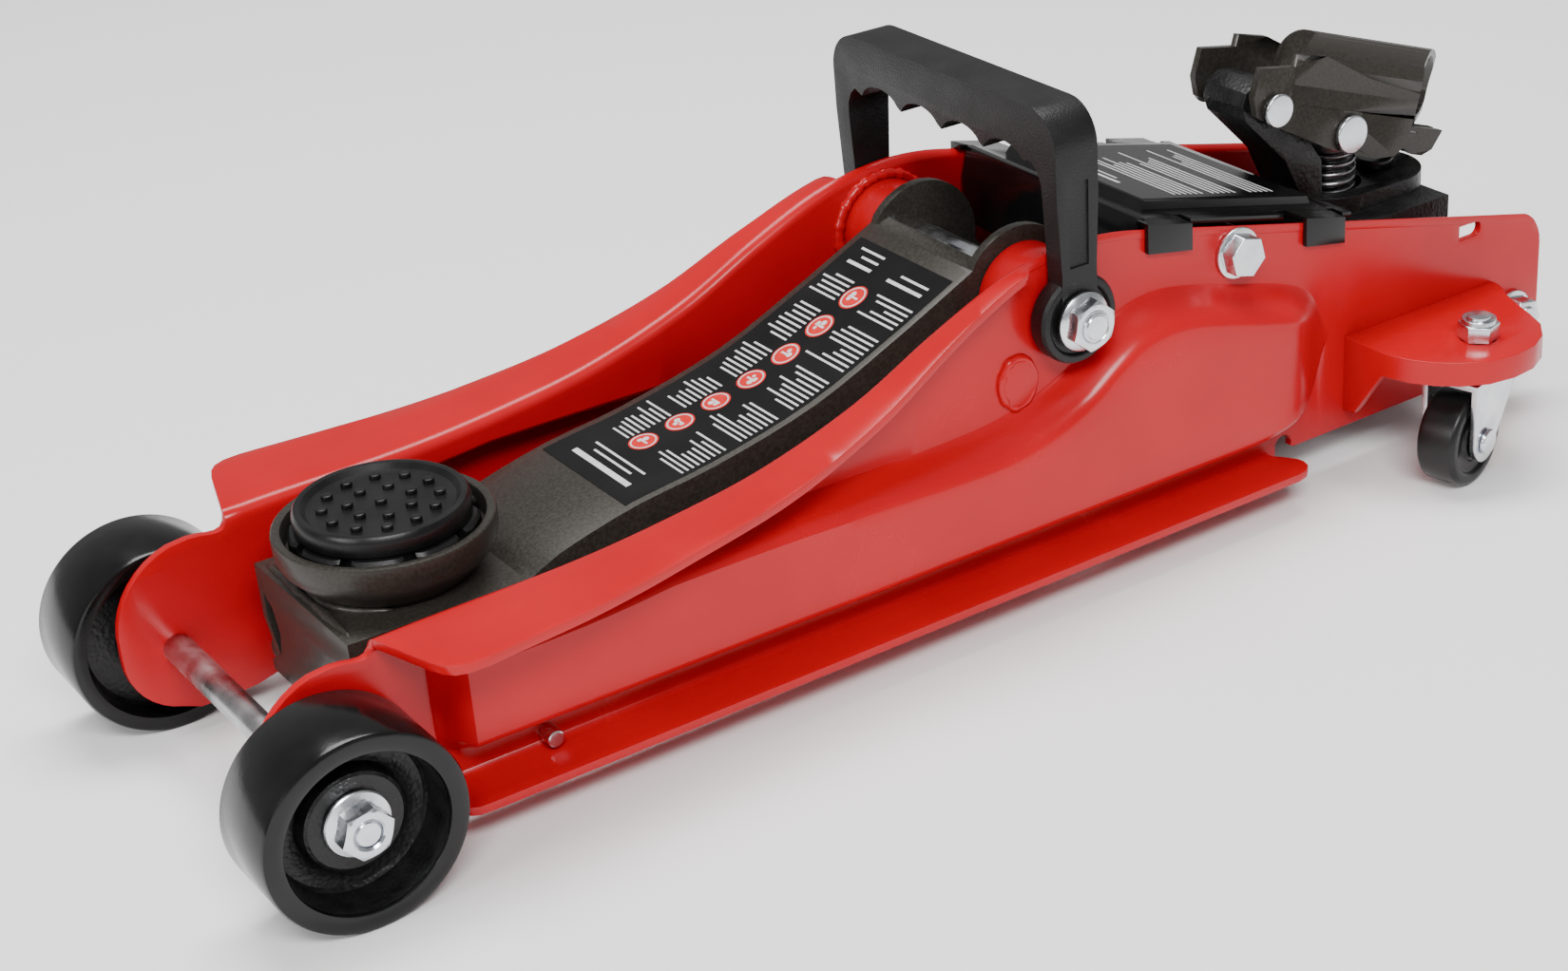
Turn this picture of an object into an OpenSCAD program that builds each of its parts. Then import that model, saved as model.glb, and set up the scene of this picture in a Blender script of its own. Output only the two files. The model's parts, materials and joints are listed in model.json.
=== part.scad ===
// Low-profile hydraulic trolley jack: pressed side plates, lift arm, power unit, wheels and casters.
// Millimetres, +Z up, +X towards the handle socket, -Y is the jack's right side.
// Built from the front axle backwards, then moved so the origin is under the middle.

/* [Chassis] */
// front axle to the rear edge of the side plates
chassis_len = 523; // [440:1:620]
// clear width between the two side plates
plate_gap = 104; // [92:1:130]
// thickness of the pressed steel sheet
sheet_t = 3; // [2:0.5:4]
// height of the foot flange above the ground
clearance_h = 14; // [12:1:17]
// how far the pressed bulge stands out of each plate
bulge_d = 13; // [8:0.5:15]
// overall width over the top flanges at the front
flange_span = 178; // [164:1:200]

/* [Front wheels] */
// radius of the cast front wheels
wheel_r = 33; // [29:0.5:36]
// width of each front wheel
wheel_w = 32; // [26:0.5:38]
// radius of the front axle rod
axle_r = 5; // [4:0.5:6]

/* [Lift] */
// height of the saddle's top face when lowered
saddle_h = 89.3; // [88:0.1:95]
// radius of the saddle's top face
saddle_r = 27.5; // [23:0.5:30]
// outside width of the lift arm
arm_w = 61; // [52:1:66]
// radius of the main pivot shaft
pivot_r = 8; // [6:0.5:9]
// how far the lift arm turns
lift_deg = 79; // [60:1:80]
// thickness of the lift arm's sheet
arm_t = 3.5; // [2.5:0.5:5]

/* [Hydraulics] */
// radius of the ram's piston rod
ram_r = 12; // [9:0.5:14]
// outside radius of the oil reservoir
tank_r = 30; // [25:0.5:31]
// radius of the pump plunger
plunger_r = 7; // [5:0.5:8]

/* [Handle socket] */
// inside radius of the socket for the pump handle
socket_r = 12.5; // [10:0.5:14]
// downward tilt of the resting socket
socket_tilt = 19; // [10:1:24]

/* [Casters] */
// radius of the rear caster wheels
caster_r = 18.5; // [16:0.5:19]
// distance of each caster stem from the middle plane
caster_y = 88.5; // [84:0.5:96]
// angle each caster stands off straight ahead
caster_turn = 15; // [0:1:30]

/* [Carry handle] */
// height of the carry handle's top above the ground
grip_h = 177; // [168:1:200]
// thickness of the moulded grip
grip_t = 8; // [6:0.5:10]

/* [Hidden] */
$fn = 64;
k = chassis_len / 523;                    // stretch along the chassis
yi = plate_gap / 2;                       // inner face of a plate
yo = yi + sheet_t;                        // outer face of a plate
run = 0.05;                               // radial play of a turning pin
wy = yo + 3;                              // inner face of a front wheel
wheel_c = wy + wheel_w / 2;               // centre plane of a front wheel
ax = 287 * k; az = 102.5;                 // main pivot A
bx = 56 * k; bz = 47;                     // arm front pin B
lx = -21; lz = -20;                       // link anchors lie here from A
cx = ax + lx; cz = az + lz;               // link rear pivot C
dx = bx + lx; dz = bz + lz;               // link front pin D
aw = arm_w / 2;                           // half width of the arm
lv = 48;                                  // lever length of the arm
la = lift_deg / 2;                        // lever angle behind straight down
px = ax + lv * sin(la); pz = az - lv * cos(la);   // lever pin
ray = 60;                                 // height of the ram's axis
hx = px + 7.5 + 1.2;                      // front face of the crosshead
ux = 345 * k;                             // front of the power unit
sx = 417 * k; sz = 133.4;                 // socket pivot pin
qx = sx + 38; qz = sz - 18.9;             // socket drive pin
plx = qx + 6.5;                           // pump plunger axis
tx = 508 * k; tz = 37;                    // rear tie bolt
stx = 455 * k;                            // caster stem
sw = 12;                                  // caster trail
rb = plx + 22.5;                          // rear lobe of the pump boss
rearx = sx + 117 * cos(socket_tilt) + 28.5 * sin(socket_tilt);
X0 = -(rearx - wheel_r) / 2;              // puts the origin under the middle
frontz = wheel_r;                         // axle height

red = [0.72, 0.05, 0.06]; steel = [0.72, 0.74, 0.77]; grey = [0.24, 0.23, 0.22];
black = [0.06, 0.06, 0.065];

// a side-view outline given thickness h from y0 towards -Y
module side(y0, h) { translate([0, y0, 0]) rotate([90, 0, 0]) linear_extrude(h) children(); }
// a rod along Y from y0 to y1
module rody(x, z, r, y0, y1, f = 64) {
  translate([x, y1, z]) rotate([90, 0, 0]) cylinder(r = r, h = y1 - y0, $fn = f);
}
// a rod along X from x0 to x1
module rodx(y, z, r, x0, x1, f = 64) {
  translate([x0, y, z]) rotate([0, 90, 0]) cylinder(r = r, h = x1 - x0, $fn = f);
}
module right() { children(); }
module left() { mirror([0, 1, 0]) children(); }
module both() { children(); mirror([0, 1, 0]) children(); }
module place() { translate([X0, 0, 0]) children(); }

// ---- side plates ----
function X(v) = v * k;
top_edge = [[24, 74.5], [92, 76], [127, 79], [163, 84], [201, 95.5], [233, 112], [250, 119],
  [262, 123], [285, 126.5], [305, 126], [325, 122.1], [411, 101.5], [505, 79]];
function sc(p) = [for (q = p) [X(q[0]), q[1]]];
module plate_outline() {
  polygon(sc(concat([[-12, 10], [-17, 15], [-18.5, 24], [-18.5, 34], [-16, 47], [-11.5, 58],
    [-5, 66], [3, 70], [12, 70.5], [17, 69], [20.5, 68.5], [22.5, 70]], top_edge,
    [[513, 76], [519, 70.5], [522, 64], [523, 58], [523, 32], [520.5, 24], [514, 18.5],
    [506, clearance_h + 2.5], [392, clearance_h + 2.5], [391, 20], [388, 23],
    [384.5, 22], [383.5, clearance_h + 3], [383.5, clearance_h], [38, clearance_h],
    [30, 11], [15, 9]])));
}
module bulge_outline(i) {
  // i is the inset of the pan's wall
  polygon(sc([[41 + i, 25 + i], [41 + i, 67 - i], [110, 69.5 - i], [195, 68 - i],
    [255 - i * 0.2, 69 - i], [283 + i * 0.2, 76 - i * 0.8], [303 + i * 0.7, 86 - i * 0.7],
    [313 + i * 0.4, 97 - i], [330, 98.5 - i], [396 - i * 0.7, 81 - i], [408 - i, 70 - i * 0.4],
    [410 - i, 52], [402 - i * 0.8, 34 + i * 0.8], [386 - i * 0.4, 26 + i], [370, 25 + i]]));
}
// m is -1 for the right plate and 1 for the left
module slab(m, y0, h) { side(m < 0 ? -y0 : y0 + h, h) children(); }
module hole(m, x, z, r) { rody(x, z, r, m < 0 ? -yo - 1 : yi - 1, m < 0 ? -yi + 1 : yo + 1); }
module top_flange(m) {
  intersection() {
    slab(m, yi + 0.5, 60) polygon(concat(sc(top_edge),
      [for (j = [len(top_edge) - 4:-1:0]) [X(top_edge[j][0]) + 0.6, top_edge[j][1] - sheet_t]]));
    f = flange_span / 2;
    p = [[24, yi + 0.2], [29, f - 9], [31, f - 3], [36, f - 0.5], [46, f], [80, f - 3.5],
      [120, f - 9], [168, f - 14], [203, f - 19], [241, f - 24.5], [269, f - 27], [270, yi + 0.2]];
    linear_extrude(200) polygon([for (q = p) [X(q[0]), m * q[1]]]);
  }
}
module foot_flange(m) {
  w = yo + 20;
  p = [[38, yi + 1], [38, w - 5], [41, w - 1.5], [45, w], [379, w], [384.5, w - 2], [387, w - 6],
    [386.5, w - 10], [383, w - 15], [381, w - 18], [380.5, yi + 1]];
  translate([0, 0, clearance_h]) linear_extrude(sheet_t) polygon([for (q = p) [X(q[0]), m * q[1]]]);
}
module plate(m) {
  place() color(red) difference() {
    union() {
      slab(m, yi, sheet_t) plate_outline();
      slab(m, yo - 0.5, bulge_d + 0.5) bulge_outline(0);
      top_flange(m);
      foot_flange(m);
    }
    slab(m, yi - 1, bulge_d + 1) bulge_outline(sheet_t);
    hole(m, 0, frontz, axle_r + 0.1);
    hole(m, ax, az, pivot_r + 0.1);
    hole(m, cx, cz, 6.1);
    hole(m, X(76), 21, 3.1);
    hole(m, X(365), 102.5, 5.1);
    hole(m, tx, tz, 5.1);
    slab(m, yi - 1, sheet_t + 2) translate([X(478), 75]) square([9, 6]);
    hole(m, X(478) + 8.4, 78, 3.06);
  }
}
module side_plate_right() { plate(-1); }
module side_plate_left() { plate(1); }

// ---- front axle group ----
module front_axle() {
  place() color(steel) {
    rody(0, frontz, axle_r, -wy - wheel_w + 9, wy + wheel_w - 9);
    both() {
      rody(0, frontz, axle_r - 0.6, -wy - wheel_w + 1.5, -wy - wheel_w + 9.5);
      rody(0, frontz, axle_r - 1.2, -wy - wheel_w + 0.5, -wy - wheel_w + 2);
    }
  }
}
module axle_washers() {
  place() color(steel) both() difference() {
    rody(0, frontz, 11, -wy + 0.4, -yo - 0.05);
    rody(0, frontz, axle_r + 0.02, -wy - 1, -yo + 1);
  }
}
// hex nut with a round flange; y0 is the flange's seat, stands towards -Y
module flange_nut(x, z, y0, af, h, fr, br) {
  difference() {
    union() {
      rody(x, z, fr, y0 - 1.6, y0);
      translate([x, y0 - 1, z]) rotate([90, 30, 0]) cylinder(r1 = fr - 1, r2 = af * 0.56, h = 2);
      translate([x, y0, z]) rotate([90, 30, 0]) cylinder(r = af / sqrt(3), h = h, $fn = 6);
    }
    rody(x, z, br, y0 - h - 1, y0 + 1);
  }
}
module axle_nuts() {
  place() color(steel) both()
    flange_nut(0, frontz, -wy - wheel_w + 8.6, 15, 8.6, 10.8, axle_r - 0.58);
}
module front_wheel() {
  color(black) difference() {
    translate([0, -wy, frontz]) rotate([90, 0, 0]) rotate_extrude($fn = 128)
      polygon([[axle_r + run, 0.4], [14, 0.4], [15, 8], [26.5 / 33 * wheel_r, 9],
        [27.5 / 33 * wheel_r, 1], [wheel_r - 1.5, 0], [wheel_r, 1.5], [wheel_r, wheel_w - 1.5],
        [wheel_r - 1.5, wheel_w], [26.2 / 33 * wheel_r, wheel_w], [25 / 33 * wheel_r, 17],
        [17.5, 16], [16, wheel_w - 9], [axle_r + run, wheel_w - 9]]);
  }
}
module front_wheel_right() { place() front_wheel(); }
module front_wheel_left() { place() left() front_wheel(); }
module front_tie_rod() { place() color(steel) rody(X(76), 21, 3, -yo - 7, yo + 7); }

// ---- main pivot ----
module pivot_shaft() {
  place() color(steel) {
    rody(ax, az, pivot_r, -yo - 0.6, yo + 0.6);
    both() rody(ax, az, 5.5, -yo - 18, -yo);
  }
}
module pivot_collars() {
  place() color(red) both() difference() {
    rody(ax, az, 18.5, -yi + 0.05, -aw - 0.4);
    rody(ax, az, pivot_r + 0.02, -yi - 1, -aw + 1);
  }
}
module handle_nuts() {
  place() color(steel) both() flange_nut(ax, az, -yo - 10.5, 16, 7, 10.5, 5.52);
}
module link_anchors() {
  place() color(red) both() {
    rody(cx, cz, 5, -yo - 0.2, -aw - 5);
    rody(cx, cz, 8.5, -yo - 1.6, -yo - 0.05);
    rody(cx, cz, 7.5, -aw - 6, -aw - 4.6);
  }
}

// ---- tie bolts ----
module cover_tie_bolt() {
  place() color(steel) {
    rody(X(365), 102.5, 5, -yo - 2, yo + 2);
    both() {
      rody(X(365), 102.5, 9.5, -yo - 1.6, -yo - 0.05);
      translate([X(365), -yo - 1, 102.5]) rotate([90, 15, 0]) cylinder(r = 8.1, h = 6.2, $fn = 6);
      rody(X(365), 102.5, 8.5, -yi + 0.05, -yi + 12);
    }
  }
}
module rear_tie_bolt() {
  place() color(steel) {
    rody(tx, tz, 5, -yo - 10, yo + 10);
    both() {
      rody(tx, tz, 9.5, -yo - 1.6, -yo - 0.05);
      translate([tx, -yo - 1, tz]) rotate([90, 10, 0]) cylinder(r = 8.1, h = 7.5, $fn = 6);
      rody(tx, tz, 8, -yi + 0.05, -yi + 3);
    }
  }
}

// ---- cover plate ----
function ct(x) = 122.1 - (x - 325) * 20.6 / 86 + 0.35;   // sheet underside along the plates
module cover_plate() {
  x0 = 326; x1 = 424; t = 2;
  place() color(black) {
    difference() {
      union() {
        side(yi - 0.4, 2 * yi - 0.8) polygon(sc([[x0, ct(x0)], [x1, ct(x1)],
          [x1 + 0.4, ct(x1) + t], [x0, ct(x0) + t]]));
        side(yi - 13, 2 * yi - 26) polygon(sc([[x0 + 8, ct(x0 + 8) + 1], [x1 - 8, ct(x1 - 8) + 1],
          [x1 - 10, ct(x1 - 10) + t + 3], [x0 + 11, ct(x0 + 11) + t + 3]]));
        side(yi - 2, 2 * yi - 4) polygon(sc([[x0 + 1.5, ct(x0) + t], [x0 + 1.5, ct(x0) - 0.3],
          [x0 - 5, 98], [x0 - 7.2, 98], [x0 - 0.8, ct(x0) + t]]));
      }
      side(yi - 15, 2 * yi - 30) polygon(sc([[x0 + 10, ct(x0 + 10) - 1], [x1 - 10, ct(x1 - 10) - 1],
        [x1 - 12, ct(x1 - 12) + t + 1], [x0 + 13, ct(x0 + 13) + t + 1]]));
      // relief notches beside the hooks
      both() for (h = [[317, 322.6], [343.4, 347], [391, 396.6], [416.4, 420]])
        translate([X(h[0]), -yi - 1, 90]) cube([X(h[1] - h[0]), 7, 50]);
    }
    both() for (h = [[323, 343], [397, 416]]) {
      side(-yi + 1, sheet_t + 3.3) polygon(sc([[h[0], ct(h[0])], [h[1], ct(h[1])],
        [h[1], ct(h[1]) + t], [h[0], ct(h[0]) + t]]));
      side(-yo - 0.3, t) polygon(sc([[h[0], ct(h[0]) + t - 0.2], [h[1], ct(h[1]) + t - 0.2],
        [h[1], ct(h[1]) - 8], [h[0], ct(h[0]) - 9]]));
    }
  }
}

// ---- caster brackets ----
bkt = [[419, -54], [419, -76], [422, -86], [427, -94], [434, -101], [443, -106.5], [454, -108.5],
  [465, -107.5], [474, -103], [481, -95.5], [485, -86], [488, -77], [491.5, -68.5],
  [495.5, -61.5], [497, -58], [497, -54]];
function by(p, i) = [for (q = p) let(u = q[0] - 457, v = q[1] + 78, r = norm([u, v]))
  [stx + 2 + u * (r - i) / r, -caster_y + 10.5 + v * (r - i) / r]];
module bracket() {
  color(red) difference() {
    union() {
      intersection() {
        translate([0, 0, 44]) linear_extrude(9.5) polygon(by(bkt, 0));
        translate([X(300), -200, 0]) cube([400, 200 - yo + 0.05 - 0.1, 100]);
      }
      translate([stx - 36, 0, 0]) rotate([90, 0, 90]) linear_extrude(3)
        polygon([[-yo - 0.05, 53], [-caster_y + 14.5, 53], [-caster_y + 13.5, 44], [-yo - 6, 24],
          [-yo - 0.05, 23]]);
    }
    difference() {
      translate([0, 0, 20]) linear_extrude(30.4) polygon(by(bkt, 3));
      translate([stx - 37, -200, 0]) cube([4, 300, 100]);
    }
    translate([stx, -caster_y, 40]) cylinder(r = 6 + run, h = 30);
  }
}
module caster_bracket_right() { place() bracket(); }
module caster_bracket_left() { place() left() bracket(); }

// ---- hydraulic power unit ----
module ram_cylinder() {
  place() color(steel) difference() {
    union() {
      rodx(0, ray, ram_r + 8, ux, X(436));
      translate([ux, 0, ray]) rotate([0, 90, 0]) cylinder(r = 27, h = 9, $fn = 6);
    }
    rodx(0, ray, ram_r + run, ux - 1, X(432));
  }
}
module reservoir() {
  place() color(black) difference() {
    rodx(0, ray, tank_r, ux + 9.5, X(436));
    rodx(0, ray, tank_r - 2.5, ux + 11.5, X(433));
    rodx(0, ray, ram_r + 8.02, ux, X(440));
  }
}
module pump_block() {
  place() color(black) difference() {
    union() {
      translate([X(436.1), -30, 36]) cube([X(497.5) - X(436.1), 60, 46]);
      rodx(0, ray, tank_r - 1, X(436.1), X(450));
      // cast lugs to the plates
      translate([X(448), -yi + 0.1, 46]) cube([X(36), 2 * yi - 0.2, 24]);
      // pump boss, oblong
      translate([plx, 0, 70]) cylinder(r = 20, h = 19);
      translate([rb, 0, 70]) cylinder(r = 20, h = 19);
      translate([plx, -20, 70]) cube([rb - plx, 40, 19]);
      // post that carries the socket
      side(11, 22) polygon([[X(437), 80], [X(437), 92], [sx + 12, 108], [sx - 8, sz - 5],
        [sx - 10, sz + 1], [sx - 8, sz + 6], [sx - 3, sz + 9], [sx + 3, sz + 9],
        [sx + 8, sz + 6], [sx + 11, sz - 2], [plx - 14, 104], [plx - 13, 80]]);
    }
    translate([plx, 0, 50]) cylinder(r = plunger_r + run, h = 60);
    // seat of the return spring
    translate([plx, 0, 84]) cylinder(r = 13, h = 10);
    rody(sx, sz, 5, -20, 20);
    rodx(0, 56, 7 + run, X(480), X(510));
    translate([rb + 2, 0, 80]) cylinder(r = 4.5, h = 20);
  }
}
module filler_plug() {
  place() color(black) {
    translate([rb + 2, 0, 80.5]) cylinder(r = 4.45, h = 10);
    translate([rb + 2, 0, 89.1]) cylinder(r = 7.5, h = 4, $fn = 32);
  }
}
module socket_pivot_pin() {
  place() color(steel) {
    rody(sx, sz, 4.98, -20, 20);
    both() rody(sx, sz, 6.6, -21.2, -19.2);
  }
}
module release_valve() {
  place() color(steel) {
    rodx(0, 56, 7, X(486), X(498));
    rodx(0, 56, 10, X(497.7), X(504));
    difference() {
      rodx(0, 56, 7.5, X(503.5), X(519));
      translate([X(508), -3.5, 40]) cube([30, 7, 40]);
    }
    rody(X(514), 56, 2.5, -9, 9, 32);
  }
}

// ---- lift arm ----
arm_top = [[100, 66], [130, 73], [160, 76.5], [200, 86], [234, 100.5], [258, 111], [272, 117.5]];
module cheek() {
  difference() {
    union() {
      polygon(concat(sc([[62, 56], [84, 57], [92, 59.5]]), sc(arm_top),
        [[ax - 2, az + 22], [ax + 16, az + 14], [ax + 23, az - 5], [px + 8, pz + 11],
        [px + 10.5, pz], [px + 5, pz - 9.5], [px - 6, pz - 10]],
        sc([[262, 74], [225, 57], [180, 45], [130, 39], [90, 36.5]]), [[bx, bz - 11]]));
      translate([ax, az]) circle(r = 24, $fn = 96);
      translate([bx, bz]) circle(r = 11);
      translate([px, pz]) circle(r = 11);
    }
    translate([ax, az]) circle(r = pivot_r + run);
    translate([bx, bz]) circle(r = 6.02);
    translate([px, pz]) circle(r = 4.5);
  }
}
module lift_arm() {
  place() color(grey) {
    both() side(-aw + arm_t, arm_t) cheek();
    side(aw - 0.5, arm_w - 1) polygon(concat(sc(arm_top),
      [for (j = [len(arm_top) - 1:-1:0]) [X(arm_top[j][0]) + 0.8, arm_top[j][1] - arm_t]]));
  }
}
module arm_front_pin() { place() color(steel) rody(bx, bz, 6, -aw - 6, aw + 6); }
module lever_pin() { place() color(steel) rody(px, pz, 4.45, -aw - 0.8, aw + 0.8); }
module lever_roller() {
  place() color(steel) difference() {
    rody(px, pz, 7.5, -aw + arm_t + 1, aw - arm_t - 1);
    rody(px, pz, 4.5, -aw, aw);
  }
}

// ---- saddle bracket, cup and pad ----
module leg() {
  difference() {
    polygon([[bx - 32, 63], [bx + 30, 63], [bx + 26, 56], [bx + 14, bz - 2], [bx + 8, bz - 10],
      [bx - 4, bz - 12], [dx + 6, dz - 8], [dx - 2, dz - 9], [dx - 8, dz - 5], [dx - 9, dz + 4],
      [bx - 32, 44]]);
    translate([bx, bz]) circle(r = 6 + run);
    translate([dx, dz]) circle(r = 5.35);
  }
}
module saddle_bracket() {
  y = aw + 0.6;
  place() color(grey) {
    both() side(-y, 3.4) leg();
    translate([bx - 32, 0, 0]) rotate([90, 0, 90]) linear_extrude(3) polygon([[-y - 3, 63],
      [-y - 3, 56], [-y + 6, 50], [-y + 9, 42], [-y + 7, 34], [-y - 2, 28], [-y - 2, 24],
      [y + 2, 24], [y + 2, 28], [y - 7, 34], [y - 9, 42], [y - 6, 50], [y + 3, 56], [y + 3, 63]]);
    translate([bx - 32, -y - 3.4, 60]) cube([62, 2 * y + 6.8, 3]);
  }
}
module saddle_cup() {
  c = saddle_r + 8;
  s = saddle_h - 89.3;
  place() color(grey) translate([bx, 0, 0]) rotate_extrude($fn = 96) polygon([[8 + run, 63.1],
    [c - 9, 63.1], [c - 6, 66], [c - 0.8, 72], [c, 76 + s], [c - 0.4, 82.4 + s],
    [c - 3.4, 82.4 + s], [c - 3.6, 74.6], [8 + run, 70]]);
}
module stud() { cylinder(r = 1.9, h = 1.6, $fn = 20); }
module saddle_pad() {
  c = saddle_r;
  h = saddle_h;
  place() color(black) translate([bx, 0, 0]) {
    rotate_extrude($fn = 96) polygon([[0, 64], [8, 64], [8, 73], [c + 1, 75.6], [c + 2.8, 76],
      [c + 2.8, h - 8], [c + 0.6, h - 7.4], [c + 1, h - 5], [c + 0.4, h - 2], [c, h - 0.6],
      [c - 0.8, h], [c - 2.6, h], [c - 4, h - 1.8], [0, h - 1.8]]);
    for (i = [0:11]) rotate(i * 30 + 10) translate([c * 0.67, 0, h - 2]) stud();
    for (i = [0:6]) rotate(i * 360 / 7) translate([c * 0.38, 0, h - 2]) stud();
    translate([0, 0, h - 2]) stud();
  }
}

// ---- levelling links ----
module link() {
  y = aw + 6.4;
  color(grey) difference() {
    union() {
      side(-y, 4.5) polygon([[dx, dz + 6.5], [dx + X(22), dz + 12.5], [X(98), 44], [X(160), 51.5],
        [X(210), 65], [cx - 2, cz + 6.5], [cx + 4, cz - 5], [X(214), 52.5], [X(162), 39],
        [X(100), 31.5], [dx + X(30), dz + 0.5], [dx + 2, dz - 7]]);
      rody(dx, dz, 8, -y - 4.5, -y);
      rody(cx, cz, 7.5, -y - 4.5, -y);
    }
    rody(dx, dz, 5.02, -y - 5, -y + 1);
    rody(cx, cz, 5 + run, -y - 5, -y + 1);
  }
}
module level_link_right() { place() link(); }
module level_link_left() { place() left() link(); }
module link_front_pin() { place() color(steel) rody(dx, dz, 5, -aw - 12.5, aw + 12.5); }

// ---- ram ----
module ram_rod() { place() color(steel) rodx(0, ray, ram_r, hx + 12, X(425)); }
module crosshead() {
  place() color(grey) {
    translate([hx, -23, 44]) cube([12, 46, 32]);
    translate([hx + 6, -46, 49]) cube([6, 92, 10]);
  }
}
module return_springs() {
  x0 = hx + 12.1; x1 = X(447.8);
  n = 16; p = (x1 - x0 - 3) / n;
  place() color(steel) both() {
    rodx(-40, 54, 1.8, x0, x1, 16);
    for (i = [0:n]) translate([x0 + 1.5 + i * p, -40, 54]) rotate([0, 90, 0])
      rotate_extrude($fn = 24) translate([2.9, 0]) circle(r = 1.35, $fn = 10);
  }
}

// ---- carry handle ----
module carry_handle() {
  w = yo + 9.5; b = 18; r = 14; t = grip_t; zt = grip_h;
  place() color(black) {
    intersection() {
      translate([ax - b / 2, 0, 0]) rotate([90, 0, 90]) linear_extrude(b) difference() {
        polygon([[-w, az + 8], [-w, zt - r], [-w + 1, zt - r + 6], [-w + 4, zt - 4], [-w + 9, zt - 1],
          [-w + r, zt], [w - r, zt], [w - 9, zt - 1], [w - 4, zt - 4], [w - 1, zt - r + 6],
          [w, zt - r], [w, az + 8]]);
        polygon([[-w + t, az], [-w + t, zt - 26], [-w + t + 5, zt - 18], [w - t - 5, zt - 18],
          [w - t, zt - 26], [w - t, az]]);
        for (y = [-36, -12, 12, 36]) translate([y * (w - t - 3) / 52, zt - 23]) circle(r = 11.5);
      }
      side(100, 200) polygon([[ax - 8.5, az], [ax - 7.5, az + 18], [ax - 9, zt - 30], [ax - 9, zt],
        [ax + 9, zt], [ax + 9, zt - 30], [ax + 7.5, az + 18], [ax + 8.5, az]]);
    }
    both() difference() {
      rody(ax, az, 16, -w, -yo - 1.2);
      rody(ax, az, 5.5 + run, -w - 1, -yo);
    }
  }
}

// ---- handle socket ----
module sock(x) { translate([sx, 0, sz]) rotate([0, socket_tilt, 0]) children(); }
module handle_socket() {
  ro = socket_r + 2.7; v = 13.3;
  a = 28 + socket_tilt;
  u2 = norm([38, 18.9]);
  t2 = atan2(18.9, 38) - socket_tilt;
  place() color(grey) sock() difference() {
    union() {
      both() side(-15, 3) polygon([[-8, -4], [-12, 3], [-12, 14], [5, 16.5], [5, 21], [20, 22],
        [46, 16], [84, 12], [84, 2], [70, -12], [60, -14], [33, -12], [14, -8.5], [3, -6.5]]);
      rodx(0, v, ro, 26, 117, 96);
      side(4, 8) polygon([[68, 0], [110, 0], [106, -10], [101, -13], [95, -13], [86, -10],
        [76, -9.5]]);
    }
    rodx(0, v, socket_r, 27 + 4, 118, 96);
    side(14.9, 29.8) polygon([[-20, -20], [-20, 30], [26, 30], [26, -1], [54, -1], [54, -20]]);
    rody(0, 0, 5 + run, -20, 20);
    rody(u2 * cos(t2), -u2 * sin(t2), 6, -20, 20);
    translate([104, 0, v]) cylinder(r = 3, h = 30, $fn = 32);
    // slot that closes the clamp
    translate([60, -1, -16]) cube([60, 2, 20]);
  }
}
module socket_drive_pin() {
  place() color(steel) {
    rody(qx, qz, 5.98, -18.5, 18.5);
    both() rody(qx, qz, 7.6, -20.4, -18.1);
  }
}
module pump_plunger() {
  place() color(steel) translate([plx, 0, 0]) {
    cylinder_from(52, qz - 10, plunger_r);
    cylinder_from(qz - 10.5, qz - 6.5, 11.5);
  }
}
module cylinder_from(z0, z1, r) { translate([0, 0, z0]) cylinder(r = r, h = z1 - z0); }
module pump_spring() {
  z0 = 84.1; z1 = qz - 10.6; n = 5; w = 1.35;
  place() color(steel) translate([plx, 0, 0]) {
    for (i = [0:n]) translate([0, 0, z0 + w + i * (z1 - z0 - 2 * w) / n])
      rotate_extrude($fn = 40) translate([9.6, 0]) circle(r = w, $fn = 10);
    for (a = [0, 180]) rotate(a) translate([9.6, 0, z0 + w])
      cylinder(r = 0.8, h = z1 - z0 - 2 * w, $fn = 10);
  }
}

// ---- casters ----
// local frame: stem at the origin, wheel trails towards -X, then turned
module caster() { translate([stx, -caster_y, 0]) rotate(caster_turn) children(); }
module fork() {
  c = caster_r;
  color(steel) {
    cylinder_from(42, 53.5, 6);
    cylinder_from(53, 62.5, 4.5);
    cylinder_from(43.5, 50.2, 12.5);
    cylinder_from(41, 44, 14.5);
    translate([-20, -11.4, 41]) cube([30, 22.8, 2.2]);
    both() side(-9.2, 2.2) difference() {
      union() {
        polygon([[9, 43.2], [10, 38], [3, 28], [-8, c - 6], [-sw, c - 8], [-sw - 8, c],
          [-20, 34], [-20, 43.2]]);
        translate([-sw, c]) circle(r = 8);
      }
      translate([-sw, c]) circle(r = 3.02);
    }
  }
}
module caster_axle() {
  color(steel) {
    rody(-sw, caster_r, 3, -13.2, 13.2, 48);
    both() rody(-sw, caster_r, 5, -13.4, -11.45, 48);
  }
}
module caster_wheel() {
  c = caster_r;
  color(black) translate([-sw, 8, c]) rotate([90, 0, 0]) rotate_extrude($fn = 96)
    polygon([[3 + run, 0], [8, 0], [9, 1.5], [13, 1.5], [14, 0], [c - 1.5, 0], [c, 1.5],
      [c, 14.5], [c - 1.5, 16], [14, 16], [13, 14.5], [9, 14.5], [8, 16], [3 + run, 16]]);
}
module caster_fork_right() { place() caster() fork(); }
module caster_fork_left() { place() left() caster() fork(); }
module caster_axle_right() { place() caster() caster_axle(); }
module caster_axle_left() { place() left() caster() caster_axle(); }
module caster_wheel_right() { place() caster() caster_wheel(); }
module caster_wheel_left() { place() left() caster() caster_wheel(); }
module nut() {
  color(steel) translate([0, 0, 53.55]) difference() {
    union() {
      cylinder(r = 7.8, h = 6.2, $fn = 6);
      cylinder(r = 6.4, h = 8);
    }
    translate([0, 0, -1]) cylinder(r = 4.52, h = 12);
  }
}
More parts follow.
